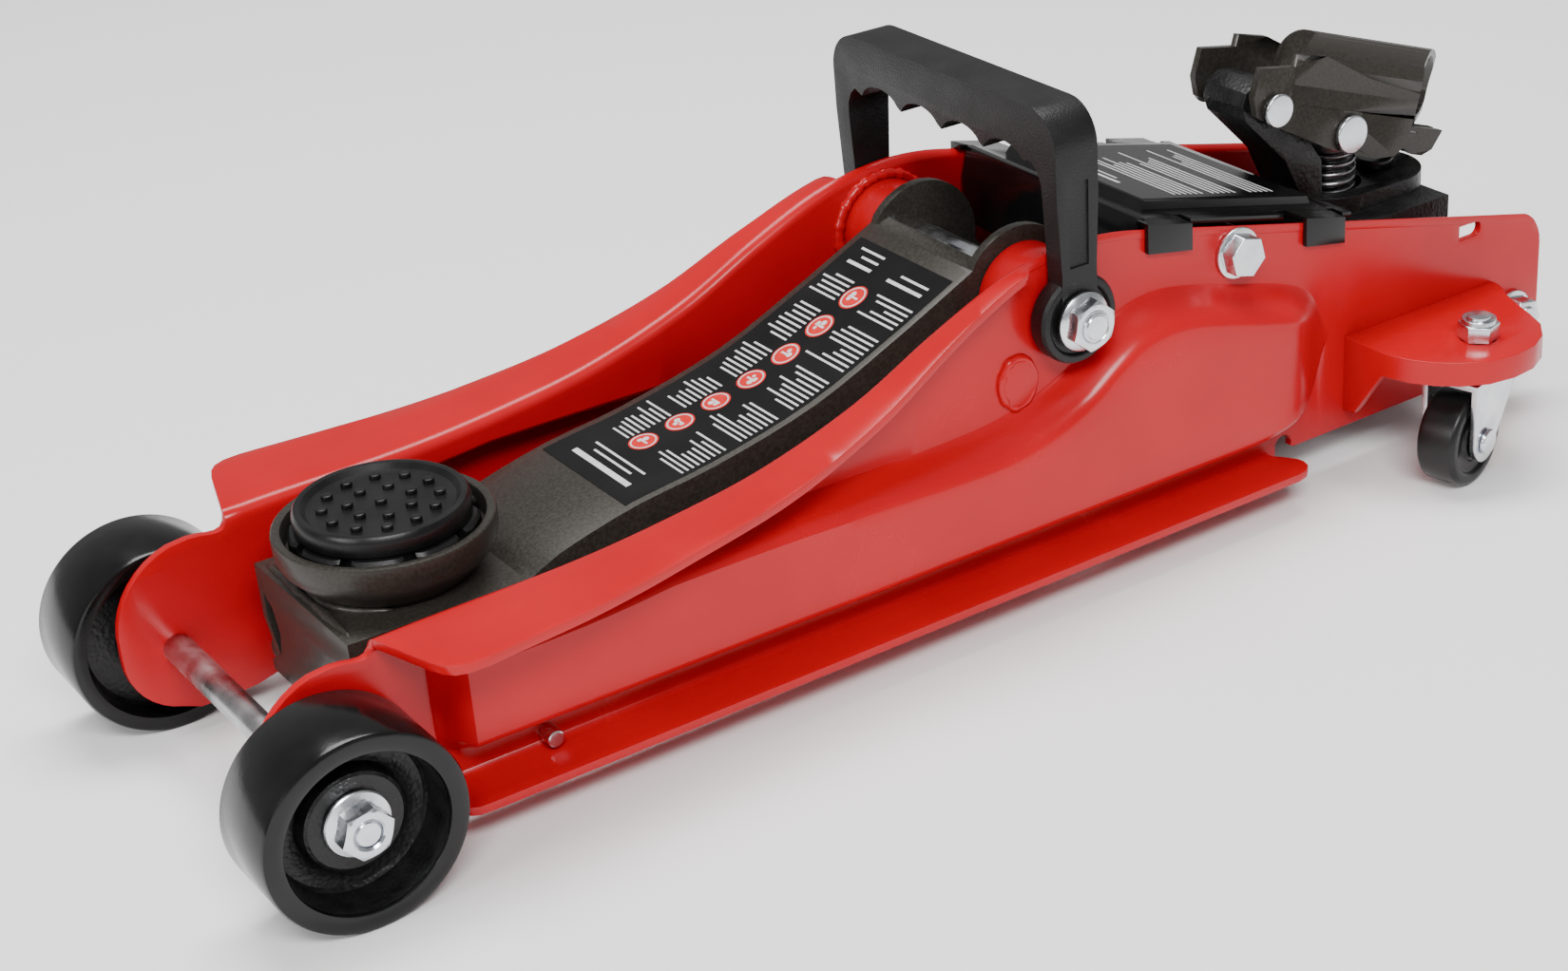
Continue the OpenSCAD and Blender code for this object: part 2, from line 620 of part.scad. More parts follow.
module caster_nut_right() { place() caster() nut(); }
module caster_nut_left() { place() left() caster() nut(); }

side_plate_right();
side_plate_left();
front_axle();
axle_washers();
axle_nuts();
front_tie_rod();
pivot_shaft();
pivot_collars();
handle_nuts();
link_anchors();
cover_tie_bolt();
rear_tie_bolt();
cover_plate();
caster_bracket_right();
caster_bracket_left();
ram_cylinder();
reservoir();
pump_block();
socket_pivot_pin();
filler_plug();
front_wheel_right();
front_wheel_left();
lift_arm();
arm_front_pin();
lever_pin();
lever_roller();
saddle_bracket();
saddle_cup();
saddle_pad();
level_link_right();
level_link_left();
link_front_pin();
ram_rod();
crosshead();
return_springs();
carry_handle();
handle_socket();
socket_drive_pin();
pump_plunger();
pump_spring();
release_valve();
caster_fork_right();
caster_fork_left();
caster_axle_right();
caster_axle_left();
caster_wheel_right();
caster_wheel_left();
caster_nut_right();
caster_nut_left();
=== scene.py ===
import bpy, bmesh, json, math
from mathutils import Matrix, Vector

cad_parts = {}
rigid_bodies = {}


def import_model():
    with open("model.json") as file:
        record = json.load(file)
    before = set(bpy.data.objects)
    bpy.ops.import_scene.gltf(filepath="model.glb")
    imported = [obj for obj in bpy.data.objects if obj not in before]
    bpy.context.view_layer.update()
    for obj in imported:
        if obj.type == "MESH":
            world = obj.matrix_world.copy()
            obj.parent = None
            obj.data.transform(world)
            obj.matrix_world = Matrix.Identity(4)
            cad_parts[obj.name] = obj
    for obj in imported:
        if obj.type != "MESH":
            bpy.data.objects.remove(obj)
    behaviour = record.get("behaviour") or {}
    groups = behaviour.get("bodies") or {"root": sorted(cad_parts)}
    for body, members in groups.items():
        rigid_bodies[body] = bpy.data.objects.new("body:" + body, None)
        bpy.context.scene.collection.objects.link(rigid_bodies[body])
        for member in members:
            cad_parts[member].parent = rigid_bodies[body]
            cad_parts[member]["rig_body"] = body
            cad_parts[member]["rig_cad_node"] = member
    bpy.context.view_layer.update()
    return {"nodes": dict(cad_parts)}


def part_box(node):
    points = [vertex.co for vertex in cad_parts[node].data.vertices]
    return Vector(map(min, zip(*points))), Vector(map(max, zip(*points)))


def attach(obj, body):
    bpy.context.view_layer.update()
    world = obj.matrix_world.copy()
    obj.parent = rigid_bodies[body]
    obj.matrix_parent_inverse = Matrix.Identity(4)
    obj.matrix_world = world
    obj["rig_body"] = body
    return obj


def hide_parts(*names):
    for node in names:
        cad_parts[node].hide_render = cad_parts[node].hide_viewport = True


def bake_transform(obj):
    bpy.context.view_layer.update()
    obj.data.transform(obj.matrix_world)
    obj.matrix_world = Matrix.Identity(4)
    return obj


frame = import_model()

# The camera looks down at the jack's front right corner with a short telephoto lens.
# The floor is a plain pale sweep, and three large soft lamps and a white sky light it.
lens = bpy.data.cameras.new("camera")
lens.sensor_width = 36.0
lens.lens = 63.81
lens.shift_x = -0.1184
lens.shift_y = 0.0165
lens.clip_end = 50.0
camera = bpy.data.objects.new("camera", lens)
bpy.context.scene.collection.objects.link(camera)
camera.matrix_world = Matrix((
    (0.80104441, 0.30787707, -0.51336105, -0.49749),
    (-0.59703748, 0.34889687, -0.72236917, -0.743457),
    (-0.04329084, 0.88514557, 0.46329604, 0.482223),
    (0, 0, 0, 1)))
bpy.context.scene.camera = camera


def lamp(name, where, towards, power, width, height):
    light = bpy.data.lights.new(name, "AREA")
    light.shape = "RECTANGLE"
    light.size, light.size_y, light.energy = width, height, power
    o = bpy.data.objects.new(name, light)
    bpy.context.scene.collection.objects.link(o)
    o.location = where
    o.rotation_euler = (Vector(towards) - Vector(where)).to_track_quat("-Z", "Y").to_euler()


lamp("key", (-0.7, -1.5, 1.7), (0, 0, 0.05), 50, 1.2, 0.45)
lamp("top", (0.2, 0.4, 1.9), (0, 0, 0.05), 42, 1.4, 0.7)
lamp("front", (-1.8, -0.3, 0.9), (0, 0, 0.05), 14, 0.8, 0.5)
sky = bpy.data.worlds.new("sky")
sky.use_nodes = True
sky.node_tree.nodes["Background"].inputs["Color"].default_value = (1, 1, 1, 1)
sky.node_tree.nodes["Background"].inputs["Strength"].default_value = 0.36
bpy.context.scene.world = sky

# The floor: a matt white sheet, wide enough for every view.
bpy.ops.object.select_all(action="DESELECT")
bpy.ops.mesh.primitive_plane_add(size=14, location=(0, 0, 0))
floor = bpy.context.object
floor.name = "floor"
paper = bpy.data.materials.new("paper")
paper.use_nodes = True
paper.node_tree.nodes["Principled BSDF"].inputs["Base Color"].default_value = (0.93, 0.93, 0.93, 1)
paper.node_tree.nodes["Principled BSDF"].inputs["Roughness"].default_value = 0.9
floor.data.materials.append(paper)

# Side plates: each is one 3 mm steel sheet, laser cut, then pressed. The press turns out a wide
# top flange, sinks a long pan beside the arm and leaves a round ear for the front axle.
# The foot flange is a separate angle, spot welded low down. Everything is sprayed gloss red.
AXLE = (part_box("front_axle")[0].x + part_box("front_axle")[1].x) / 2
WEB = 0.052


def P(x, y, z):
    """A point in millimetres from the front axle, the middle plane and the ground."""
    return Vector((AXLE + x / 1000, y / 1000, z / 1000))


def hold(o):
    bpy.ops.object.mode_set(mode="OBJECT") if bpy.context.mode != "OBJECT" else None
    bpy.ops.object.select_all(action="DESELECT")
    o.hide_set(False)
    o.select_set(True)
    bpy.context.view_layer.objects.active = o
    return o


def between(table, x):
    """A height read off a table of (x, height) points, eased so that it has no kinks."""
    if x <= table[0][0]:
        return table[0][1]
    if x >= table[-1][0]:
        return table[-1][1]
    i = max(j for j in range(len(table) - 1) if table[j][0] <= x)
    a, b = table[i], table[i + 1]
    w = b[0] - a[0]
    before = table[max(i - 1, 0)]
    after = table[min(i + 2, len(table) - 1)]
    ma = (b[1] - before[1]) / (b[0] - before[0]) * w
    mb = (after[1] - a[1]) / (after[0] - a[0]) * w
    t = (x - a[0]) / w
    return ((2 * t ** 3 - 3 * t ** 2 + 1) * a[1] + (t ** 3 - 2 * t ** 2 + t) * ma
            + (3 * t ** 2 - 2 * t ** 3) * b[1] + (t ** 3 - t ** 2) * mb)


def drawn(name, rings, closed=True, caps=True):
    """A skin drawn ring by ring: the first ring is laid, then each is extruded from the last."""
    bpy.ops.object.select_all(action="DESELECT")
    n = len(rings[0])
    bpy.ops.mesh.primitive_circle_add(vertices=n, radius=0.01, location=(0, 0, 0))
    o = bpy.context.object
    o.name = name
    bpy.ops.object.mode_set(mode="EDIT")
    bm = bmesh.from_edit_mesh(o.data)
    bm.verts.ensure_lookup_table()
    row = list(bm.verts)
    for v, p in zip(row, rings[0]):
        v.co = p
    if not closed:
        bm.edges.remove(bm.edges.get((row[0], row[-1])))
    for ring in rings[1:]:
        bpy.ops.mesh.extrude_edges_move()
        bm = bmesh.from_edit_mesh(o.data)
        row = [next(e.other_vert(v) for e in v.link_edges if e.other_vert(v).select) for v in row]
        for v, p in zip(row, ring):
            v.co = p
    bmesh.update_edit_mesh(o.data)
    if caps and closed:
        bpy.ops.mesh.select_all(action="SELECT")
        bpy.ops.mesh.fill_holes(sides=0)
    bpy.ops.mesh.select_all(action="SELECT")
    bpy.ops.mesh.remove_doubles(threshold=1e-6)
    bpy.ops.mesh.normals_make_consistent(inside=False)
    bpy.ops.object.mode_set(mode="OBJECT")
    return o


def slab(name, outline, axis, low, high):
    """A flat outline cut to shape and given its thickness along one axis, all in millimetres."""
    put = {"y": lambda a, b, c: P(a, c, b), "z": lambda a, b, c: P(a, b, c),
           "x": lambda a, b, c: P(c, a, b)}[axis]
    return drawn(name, [[put(a, b, low) for a, b in outline], [put(a, b, high) for a, b in outline]])


def modified(o, kind, **settings):
    """Add one modifier, set it and apply it."""
    bpy.ops.object.select_all(action="DESELECT")
    o.select_set(True)
    bpy.context.view_layer.objects.active = o
    m = o.modifiers.new(kind.lower(), kind)
    for k, v in settings.items():
        setattr(m, k, v)
    bpy.ops.object.modifier_apply(modifier=m.name)
    return o


def cut(o, tool, how="DIFFERENCE"):
    modified(o, "BOOLEAN", object=tool, operation=how, solver="EXACT")
    bpy.data.objects.remove(tool)
    return o


def eased(o, width, steps=2, angle=32):
    """Break the sharp edges with a small round, width in millimetres, then shade it smooth."""
    modified(o, "BEVEL", width=width / 1000, segments=steps, limit_method="ANGLE",
             angle_limit=math.radians(angle), harden_normals=False)
    bpy.ops.object.shade_smooth_by_angle(angle=math.radians(28))
    return o


def fitted(o, material, body, *nodes):
    """Paint the piece, hang it on its body and let it stand for its CAD nodes."""
    o.data.materials.clear()
    o.data.materials.append(material)
    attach(o, body)
    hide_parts(*nodes)
    return o


top_edge = [(20, 74.3), (40, 75), (92, 76), (127, 79), (163, 84.5), (201, 96), (233, 111), (262, 122.5),
            (285, 126.5), (305, 126), (325, 122.1), (368, 111.8), (411, 101.5), (505, 79), (530, 73)]
pan_low = [(41, 27), (360, 25), (376, 26), (392, 31), (403, 40), (409, 54)]
pan_high = [(41, 66), (110, 69), (195, 69), (250, 70), (272, 74.5), (290, 82), (303, 91), (315, 97),
            (332, 98), (364, 90), (390, 82.5), (402, 75.5), (409, 60)]


def eased_step(t):
    t = min(max(t, 0), 1)
    return t * t * (3 - 2 * t)


def plate_section(x):
    """Inner surface of the right plate at x, from its lower edge to the flange's rim."""
    rim = between(top_edge, x)
    low, high = between(pan_low, x), between(pan_high, x)
    deep = 13 * eased_step((x - 40) / 9) * eased_step((411 - x) / 30)
    high = min(high, rim - 9)
    mid = (low + high) / 2
    lower = min(8.5, (mid - low) * 0.9)
    upper = min(7.5 + 5 * eased_step((x - 150) / 150), (high - mid) * 0.9)
    bottom = 5 if x < 38 or x > 384 else 14
    pts = [(0, bottom), (0, bottom + 1.5)]
    for i in range(9):
        t = i / 8
        pts.append((deep * eased_step(t), low + lower * t))
    for t in (0.2, 0.4, 0.6, 0.8):
        pts.append((deep, low + lower + (high - upper - low - lower) * t))
    for i in range(9):
        t = i / 8
        pts.append((deep * (1 - eased_step(t)), high - upper + upper * t))
    pts.append((0, (high + rim) / 2))
    bend = 4.5 if x < 275 else max(3.3, 4.5 - (x - 275) / 30)
    for i in range(7):
        a = math.radians(90 * i / 6)
        pts.append((bend - bend * math.cos(a), rim - bend + bend * math.sin(a)))
    pts += [(12, rim), (22, rim), (32, rim), (42, rim)]
    return [P(x, -52 - d, z) for d, z in pts]


stations = sorted(set([-22, -10, 0, 10, 20, 30, 37.9, 38.1, 40] + [41 + i * 1.5 for i in range(8)]
                      + list(range(55, 383, 5)) + [383.9, 384.1]
                      + [386 + i * 2 for i in range(14)] + list(range(414, 530, 6)) + [528]))
web = drawn("side_plate_right", [plate_section(x) for x in stations], closed=False, caps=False)
bpy.ops.object.mode_set(mode="EDIT")
bm = bmesh.from_edit_mesh(web.data)
face = max(bm.faces, key=lambda f: f.calc_center_median().x)
if face.normal.y < 0:
    bpy.ops.mesh.select_all(action="SELECT")
    bpy.ops.mesh.flip_normals()
bpy.ops.object.mode_set(mode="OBJECT")
modified(web, "SOLIDIFY", thickness=0.003, offset=-1, use_even_offset=True)


def arc(x, z, r, a0, a1, n=8):
    """Points on an arc, angles in degrees."""
    return [(x + r * math.cos(math.radians(a0 + (a1 - a0) * i / n)),
             z + r * math.sin(math.radians(a0 + (a1 - a0) * i / n))) for i in range(n + 1)]


# The laser's outline: the ear, the notch behind it, the rear corners and the step under the tail.
ear = ([(38, 13.9), (32, 11.5), (24, 9.5), (15, 8.8), (4, 8.8)] + arc(4, 33, 22.5, 255, 178, 8)
       + arc(11.5, 40, 30, 183, 106, 9) + [(10, 69.6), (14, 69.3), (17.5, 68.6), (20, 68.4), (22, 69), (23.3, 70.8),
       (24, 74.6), (24, 100), (-60, 100), (-60, -20), (38, -20)])
tail = ([(384, 13.9), (384, -20), (560, -20), (560, 120), (509.8, 120)]
        + arc(507, 62.5, 16, 80, 0, 7) + [(523, 34)] + arc(505, 34, 18, 0, -84, 7)
        + [(430, 16.2), (394, 16.2)] + arc(388.5, 18.2, 4.2, -20, 200, 7))
cut(web, slab("ear cutter", ear, "y", -140, -20))
cut(web, slab("tail cutter", tail, "y", -140, -20))
flange = ([(24, -55.3), (24, -56), (30.5, -79), (32.5, -84), (35, -87), (39, -88.7), (45, -89), (80, -85.5),
           (120, -80), (168, -75), (203, -70), (241, -64.5), (266, -62), (268.5, -61), (269.5, -58.5),
           (270, -55.3)])
front_trim = [(150, -77), (150, -170), (-90, -170), (-90, -55.3)]
cut(web, slab("flange cutter", [q for q in flange if q[0] < 150] + front_trim, "z", 70.5, 160))
cut(web, slab("flange cutter", [(149.9, -77)] + [q for q in flange if q[0] > 150]
              + [(271, -55.3), (271, -170), (149.9, -170)], "z", 78.3, 160))
cut(web, slab("rear trim", [(270.5, 108), (285, 116), (305, 116), (325, 112), (411, 92), (505, 70), (560, 58),
              (560, 200), (270.5, 200)], "y", -170, -55.3))
foot = [(38, -53), (38, -70), (39, -73), (41.5, -74.6), (45, -75), (379, -75), (383, -74), (386, -71.5),
        (387, -68), (386.5, -65), (384, -61), (381, -57), (380.5, -53)]
angle = slab("foot angle", foot, "z", 14, 17)
cut(web, angle, "UNION")
bead = slab("fold", [(-54.9, 16.9), (-57.6, 16.9), (-56, 17.5), (-55.2, 18.4), (-54.9, 20)], "x", 39, 380)
cut(web, bead, "UNION")

def finish(name, colours, rough, metal=0.0, coat=0.0, mottle=60, bumps=((900, 0.05),), cast=None,
           shine=0.32):
    """A procedural finish: two close colours mottled together, a roughness range, and bumps
    given as (scale per metre, strength). cast adds a pitted sand-cast skin at that scale."""
    m = bpy.data.materials.new(name)
    m.use_nodes = True
    t = m.node_tree
    b = t.nodes["Principled BSDF"]
    b.inputs["Metallic"].default_value = metal
    b.inputs["Coat Weight"].default_value = coat
    b.inputs["Specular IOR Level"].default_value = shine
    b.inputs["Coat Roughness"].default_value = 0.06
    where = t.nodes.new("ShaderNodeTexCoord").outputs["Object"]
    cloud = t.nodes.new("ShaderNodeTexNoise")
    cloud.inputs["Scale"].default_value = mottle
    cloud.inputs["Detail"].default_value = 5
    t.links.new(where, cloud.inputs["Vector"])
    ramp = t.nodes.new("ShaderNodeValToRGB")
    ramp.color_ramp.elements[0].position = 0.35
    ramp.color_ramp.elements[1].position = 0.68
    ramp.color_ramp.elements[0].color = (*colours[0], 1)
    ramp.color_ramp.elements[1].color = (*colours[1], 1)
    t.links.new(cloud.outputs["Fac"], ramp.inputs["Fac"])
    t.links.new(ramp.outputs["Color"], b.inputs["Base Color"])
    span = t.nodes.new("ShaderNodeMapRange")
    span.inputs["From Min"].default_value = 0.3
    span.inputs["From Max"].default_value = 0.7
    span.inputs["To Min"].default_value = rough[0]
    span.inputs["To Max"].default_value = rough[1]
    t.links.new(cloud.outputs["Fac"], span.inputs["Value"])
    t.links.new(span.outputs["Result"], b.inputs["Roughness"])
    normal = None
    for scale, strength in bumps:
        tex = t.nodes.new("ShaderNodeTexNoise")
        tex.inputs["Scale"].default_value = scale
        tex.inputs["Detail"].default_value = 3
        t.links.new(where, tex.inputs["Vector"])
        bump = t.nodes.new("ShaderNodeBump")
        bump.inputs["Strength"].default_value = strength
        bump.inputs["Distance"].default_value = 0.0004
        t.links.new(tex.outputs["Fac"], bump.inputs["Height"])
        if normal:
            t.links.new(normal, bump.inputs["Normal"])
        normal = bump.outputs["Normal"]
    if cast:
        pits = t.nodes.new("ShaderNodeTexVoronoi")
        pits.inputs["Scale"].default_value = cast
        t.links.new(where, pits.inputs["Vector"])
        bump = t.nodes.new("ShaderNodeBump")
        bump.inputs["Strength"].default_value = 0.35
        bump.inputs["Distance"].default_value = 0.0005
        t.links.new(pits.outputs["Distance"], bump.inputs["Height"])
        if normal:
            t.links.new(normal, bump.inputs["Normal"])
        normal = bump.outputs["Normal"]
    if normal:
        t.links.new(normal, b.inputs["Normal"])
    return m


red_enamel = finish("red_enamel", ((0.42, 0.0010, 0.0060), (0.47, 0.0014, 0.0075)), (0.2, 0.28), coat=0.0,
                    mottle=25, bumps=((260, 0.05), (30, 0.05)))


def flipped(o, name):
    """A copy of a right-hand piece, mirrored across the middle plane with its faces put right."""
    hold(o)
    bpy.ops.object.duplicate()
    c = bpy.context.object
    c.name = name
    c.data.transform(Matrix.Scale(-1, 4, (0, 1, 0)))
    bpy.ops.object.mode_set(mode="EDIT")
    bpy.ops.mesh.select_all(action="SELECT")
    bpy.ops.mesh.flip_normals()
    bpy.ops.object.mode_set(mode="OBJECT")
    return c


hole = slab("slot cutter", [(478, 75), (486.5, 75)] + arc(486.5, 78, 3, -90, 90, 8) + [(478, 81)], "y", -60, -48)
cut(web, hole)
eased(web, 0.5)
far_web = flipped(web, "side_plate_left")
fitted(web, red_enamel, "chassis", "side_plate_right")
fitted(far_web, red_enamel, "chassis", "side_plate_left")

# Pivot weld: a hand-run bead round the boss on the inner face of each plate, sprayed over.
# Plug welds fill the hole where each levelling link is anchored to its plate.


def bead(name, path, radius, ripple=0.16, pitch=2.2):
    """A weld bead: a round worm along the path with the ripples a welder leaves."""
    rings = []
    run = 0
    for i, p in enumerate(path):
        a, b = path[max(i - 1, 0)], path[min(i + 1, len(path) - 1)]
        run += (p - path[i - 1]).length * 1000 if i else 0
        along = (b - a).normalized()
        side = along.cross(Vector((0, 1, 0.01))).normalized()
        up = side.cross(along)
        end = min(1, 0.35 + 0.65 * min(i, len(path) - 1 - i) / 3)
        r = radius / 1000 * end * (1 + ripple * math.sin(run / pitch * 6.283) + 0.1 * math.sin(run * 0.9))
        rings.append([p + side * math.cos(t * 0.7854) * r + up * math.sin(t * 0.7854) * r for t in range(8)])
    o = drawn(name, rings)
    hold(o)
    bpy.ops.object.shade_smooth()
    return o


for side, name in ((-1, "right"), (1, "left")):
    b = bead("pivot_weld_" + name, [P(287 + 20 * math.cos(math.radians(a)), side * 51.6,
             102.5 + 20 * math.sin(math.radians(a))) for a in range(-40, 221, 4)], 2.0)
    b.data.materials.append(red_enamel)
    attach(b, "chassis")
    dab = [P(266 + 7 * math.cos(math.radians(a)), side * 55.4, 82.5 + 9 * math.sin(math.radians(a)))
           for a in range(0, 361, 9)]
    b = bead("plug_weld_" + name, dab, 1.5, 0.1, 5)
    b.data.materials.append(red_enamel)
    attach(b, "chassis")


def copied(node, name=None, whole_faces=True):
    """A working copy of a CAD node, its loose triangles merged and, unless told not to, made whole faces."""
    hold(frame["nodes"][node])
    bpy.ops.object.duplicate()
    c = bpy.context.object
    c.name = name or node + "_made"
    c.parent = None
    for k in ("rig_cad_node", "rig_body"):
        if k in c:
            del c[k]
    bpy.ops.object.mode_set(mode="EDIT")
    bpy.ops.mesh.select_all(action="SELECT")
    bpy.ops.mesh.remove_doubles(threshold=2e-6)
    if whole_faces:
        bpy.ops.mesh.dissolve_limited(angle_limit=math.radians(0.6))
    bpy.ops.object.mode_set(mode="OBJECT")
    return c


def dressed(node, material, body, width=0.5, steps=2, angle=32):
    """A CAD node's own shape with its raw edges broken."""
    c = eased(copied(node), width, steps, angle)
    return fitted(c, material, body, node)


# Collars, link anchors and the front cross rods: turned steel, welded or driven into the plates.
# The collars and anchors are sprayed with the frame; the rods are left zinc plated.
zinc = finish("zinc_plate", ((0.60, 0.62, 0.66), (0.76, 0.78, 0.80)), (0.16, 0.34), metal=1.0, mottle=140,
              bumps=((700, 0.06),))
bare_steel = finish("turned_steel", ((0.42, 0.42, 0.43), (0.60, 0.60, 0.61)), (0.22, 0.42), metal=1.0, mottle=90,
                    bumps=((1200, 0.08), (160, 0.06)))
dressed("pivot_collars", red_enamel, "chassis")
dressed("link_anchors", red_enamel, "chassis", 0.8, 3)
dressed("front_tie_rod", zinc, "chassis", 0.6)
dressed("pivot_shaft", zinc, "chassis", 0.8)
dressed("axle_washers", zinc, "chassis", 0.3)

# Front wheels: cast iron cups painted black, turned true on the tread. The hub stands in the
# middle of the deep outer recess, and the rod's flanged nut bears on its end.
cast_black = finish("cast_black", ((0.003, 0.003, 0.003), (0.008, 0.008, 0.008)), (0.3, 0.5), coat=0.1,
                    mottle=120, bumps=((500, 0.25), (1400, 0.12)), cast=650)
gloss_black = finish("black_enamel", ((0.003, 0.003, 0.003), (0.006, 0.006, 0.006)), (0.14, 0.24), coat=0.0,
                     mottle=60, bumps=((240, 0.10), (1100, 0.06)))


def turned(name, profile, centre, axis="y", steps=96):
    """A lathe job: the closed profile of (radius, along) points swept once round its axis."""
    rings = []
    for i in range(steps + 1):
        a = 2 * math.pi * (i % steps) / steps
        c, s = math.cos(a), math.sin(a)
        put = {"y": lambda r, h: P(centre[0] + r * c, centre[1] + h, centre[2] + r * s),
               "x": lambda r, h: P(centre[0] + h, centre[1] + r * c, centre[2] + r * s),
               "z": lambda r, h: P(centre[0] + r * c, centre[1] + r * s, centre[2] + h)}[axis]
        rings.append([put(max(r, 0.001), h) for r, h in profile])
    o = drawn(name, rings, caps=False)
    bpy.ops.object.mode_set(mode="EDIT")
    bpy.ops.mesh.select_all(action="SELECT")
    bpy.ops.mesh.remove_doubles(threshold=3e-6)
    bpy.ops.mesh.normals_make_consistent(inside=False)
    bpy.ops.object.mode_set(mode="OBJECT")
    bpy.ops.object.shade_smooth_by_angle(angle=math.radians(30))
    return o


wheel_profile = ([(5.05, -0.6), (14, -0.6), (15, -1), (16, -8), (25.5, -9), (26.6, -8), (27.5, -1.6), (28, -0.5)]
                 + [(31.3, 0), (32.4, -0.4), (33, -1.6)] + [(33, -30.2), (32.5, -31.4), (31.3, -32)]
                 + [(27.6, -32), (26.6, -31.6), (26.1, -30.6), (25.2, -18.6), (24.2, -17.3), (22, -16.9),
                    (19, -17.1), (17.6, -18), (17, -20), (16.2, -22.4), (15.2, -23), (5.05, -23)])
tyre = turned("front_wheel_right", wheel_profile, (0, -58, 33))
far_tyre = flipped(tyre, "front_wheel_left")
for o, side in ((tyre, "right"), (far_tyre, "left")):
    fitted(o, gloss_black, "wheel_" + side, "front_wheel_" + side)
    o.data.materials.append(cast_black)
    for f in o.data.polygons:
        r = math.hypot(f.center.x - AXLE, f.center.z - 0.033)
        f.material_index = 1 if r < 0.0262 else 0

# Front axle rod: bright drawn bar with a rolled thread and a chamfer at each end.
# Zinc plated flanged nuts hold the wheels on.


def threaded(name, x, z, r, y0, y1, bore=0):
    """A stud end along Y from y0 inwards to y1 outwards, with the thread's grooves."""
    s = 1 if y1 > y0 else -1
    length, pitch = abs(y1 - y0), 1.5
    profile = [(0.001, 0), (r - 0.1, 0)]
    h = 0.6
    while h < length - 1.6:
        profile += [(r, h), (r, h + 0.3), (r - 0.75, h + 0.75), (r - 0.75, h + 0.95)]
        h += pitch
    profile += [(r - 0.1, length - 1.4), (r - 1.3, length), (0.001, length)]
    return turned(name, [(a, b * s) for a, b in profile], (x, y0, z), steps=40)


def hex_nut(name, x, z, y0, af, high, flange, bore, turn=0, axis="y", lock=0, mark=False):
    """A flanged hex nut: flange, chamfered hexagon and, where it has one, its nylon collar."""
    n = 48
    s = -1 if axis == "y-" else 1
    ra = af / 2 * 0.985

    def ring(shape, h):
        pts = []
        for i in range(n):
            a = 2 * math.pi * i / n
            if shape == "hex":
                b = (a % (math.pi / 3)) - math.pi / 6
                r = af / 2 / math.cos(b)
                hh = h - max(0, r - ra) * 0.55 if h > high - 1 and h <= high else h
            else:
                r, hh = shape, h
            c, d = r * math.cos(a + turn), r * math.sin(a + turn)
            pts.append(P(x + c, y0 + s * hh, z + d) if axis != "z" else P(x + c, z + d, y0 + hh))
        return pts

    rings = [ring(bore, 0)]
    if flange:
        rings += [ring(flange, 0), ring(flange, 1.0), ring(flange - 0.4, 1.4), ring(af * 0.53, 2.2)]
    rings += [ring("hex", 2.4 if flange else 0), ring("hex", high)]
    rings += [ring(ra - 0.1, high)]
    if lock:
        rings += [ring(ra - 0.6, high + 0.2), ring(ra - 0.9, high + lock - 0.8), ring(ra - 1.8, high + lock)]
    rings += [ring(bore + 0.6, high + lock), ring(bore, high + lock - 0.6), ring(bore, 0)]
    o = drawn(name, rings, caps=False)
    bpy.ops.object.shade_smooth_by_angle(angle=math.radians(26))
    return o


bar = dressed("front_axle", bare_steel, "chassis", 0.4)
for side, s in (("right", -1), ("left", 1)):
    nut = hex_nut("axle_nut_" + side, 0, 33, s * 81.4, 15, 8.6, 10.8, 4.7, 0.2, "y-" if s < 0 else "y+")
    fitted(nut, zinc, "chassis", "axle_nuts")
    end = threaded("axle_thread_" + side, 0, 33, 5, s * 81, s * 89.6)
    end.data.materials.append(zinc)
    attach(end, "chassis")
    nut = hex_nut("handle_nut_" + side, 287, 102.5, s * 65.5, 16, 7, 10.5, 5.45, 0.35, "y-" if s < 0 else "y+")
    fitted(nut, zinc, "chassis", "handle_nuts")
    end = threaded("pivot_thread_" + side, 287, 102.5, 5.45, s * 65, s * 73.4)
    end.data.materials.append(zinc)
    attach(end, "chassis")

# Saddle: a cast cup with a stamped lip, painted with the arm, and a black moulded pad in it.
# The pad turns freely; its rim is raised, its floor carries round studs and its collar is notched.
arm_grey = finish("grey_hammer_paint", ((0.026, 0.023, 0.019), (0.042, 0.038, 0.032)), (0.34, 0.46), metal=0.3,
                  coat=0.1, mottle=900, bumps=((900, 0.10), (90, 0.12)))
rubber = finish("moulded_black", ((0.003, 0.003, 0.003), (0.006, 0.006, 0.006)), (0.28, 0.4), mottle=80,
                bumps=((1500, 0.10), (200, 0.06)))
cup = turned("saddle_cup", [(8.05, 63.1), (24, 63.1), (26, 63.6), (28.5, 66), (32, 69.6), (34, 72), (35, 74),
             (35.5, 76.5), (35.6, 81), (35.3, 82), (34.8, 82.4), (33.2, 82.4), (32.4, 82), (32.1, 81),
             (31.9, 74.8), (31.4, 74.5), (8.05, 70)], (56, 0, 0), "z")
fitted(cup, arm_grey, "bracket", "saddle_cup")
pad = turned("saddle_pad", [(0.001, 64), (8, 64), (8, 73), (25.5, 74.5), (26, 80), (26.4, 82.2), (28.1, 82.6),
             (28.2, 84), (28.3, 86.4), (27.9, 88.2), (27.2, 89.1), (26.3, 89.3), (25.2, 89.1), (24.3, 88.2),
             (23.6, 87.5), (22.4, 87.35), (0.001, 87.35)], (56, 0, 0), "z", 144)
bpy.ops.mesh.primitive_cylinder_add(vertices=20, radius=0.0019, depth=0.0026, location=P(56, 0, 87.6))
stud = bpy.context.object
bpy.ops.object.transform_apply(location=True, rotation=True, scale=True)
modified(stud, "BEVEL", width=0.0006, segments=2, limit_method="ANGLE", angle_limit=0.6)
places = [(0, 0)] + [(10.5, i * 360 / 7) for i in range(7)] + [(18.5, i * 30 + 10) for i in range(12)]
studs = []
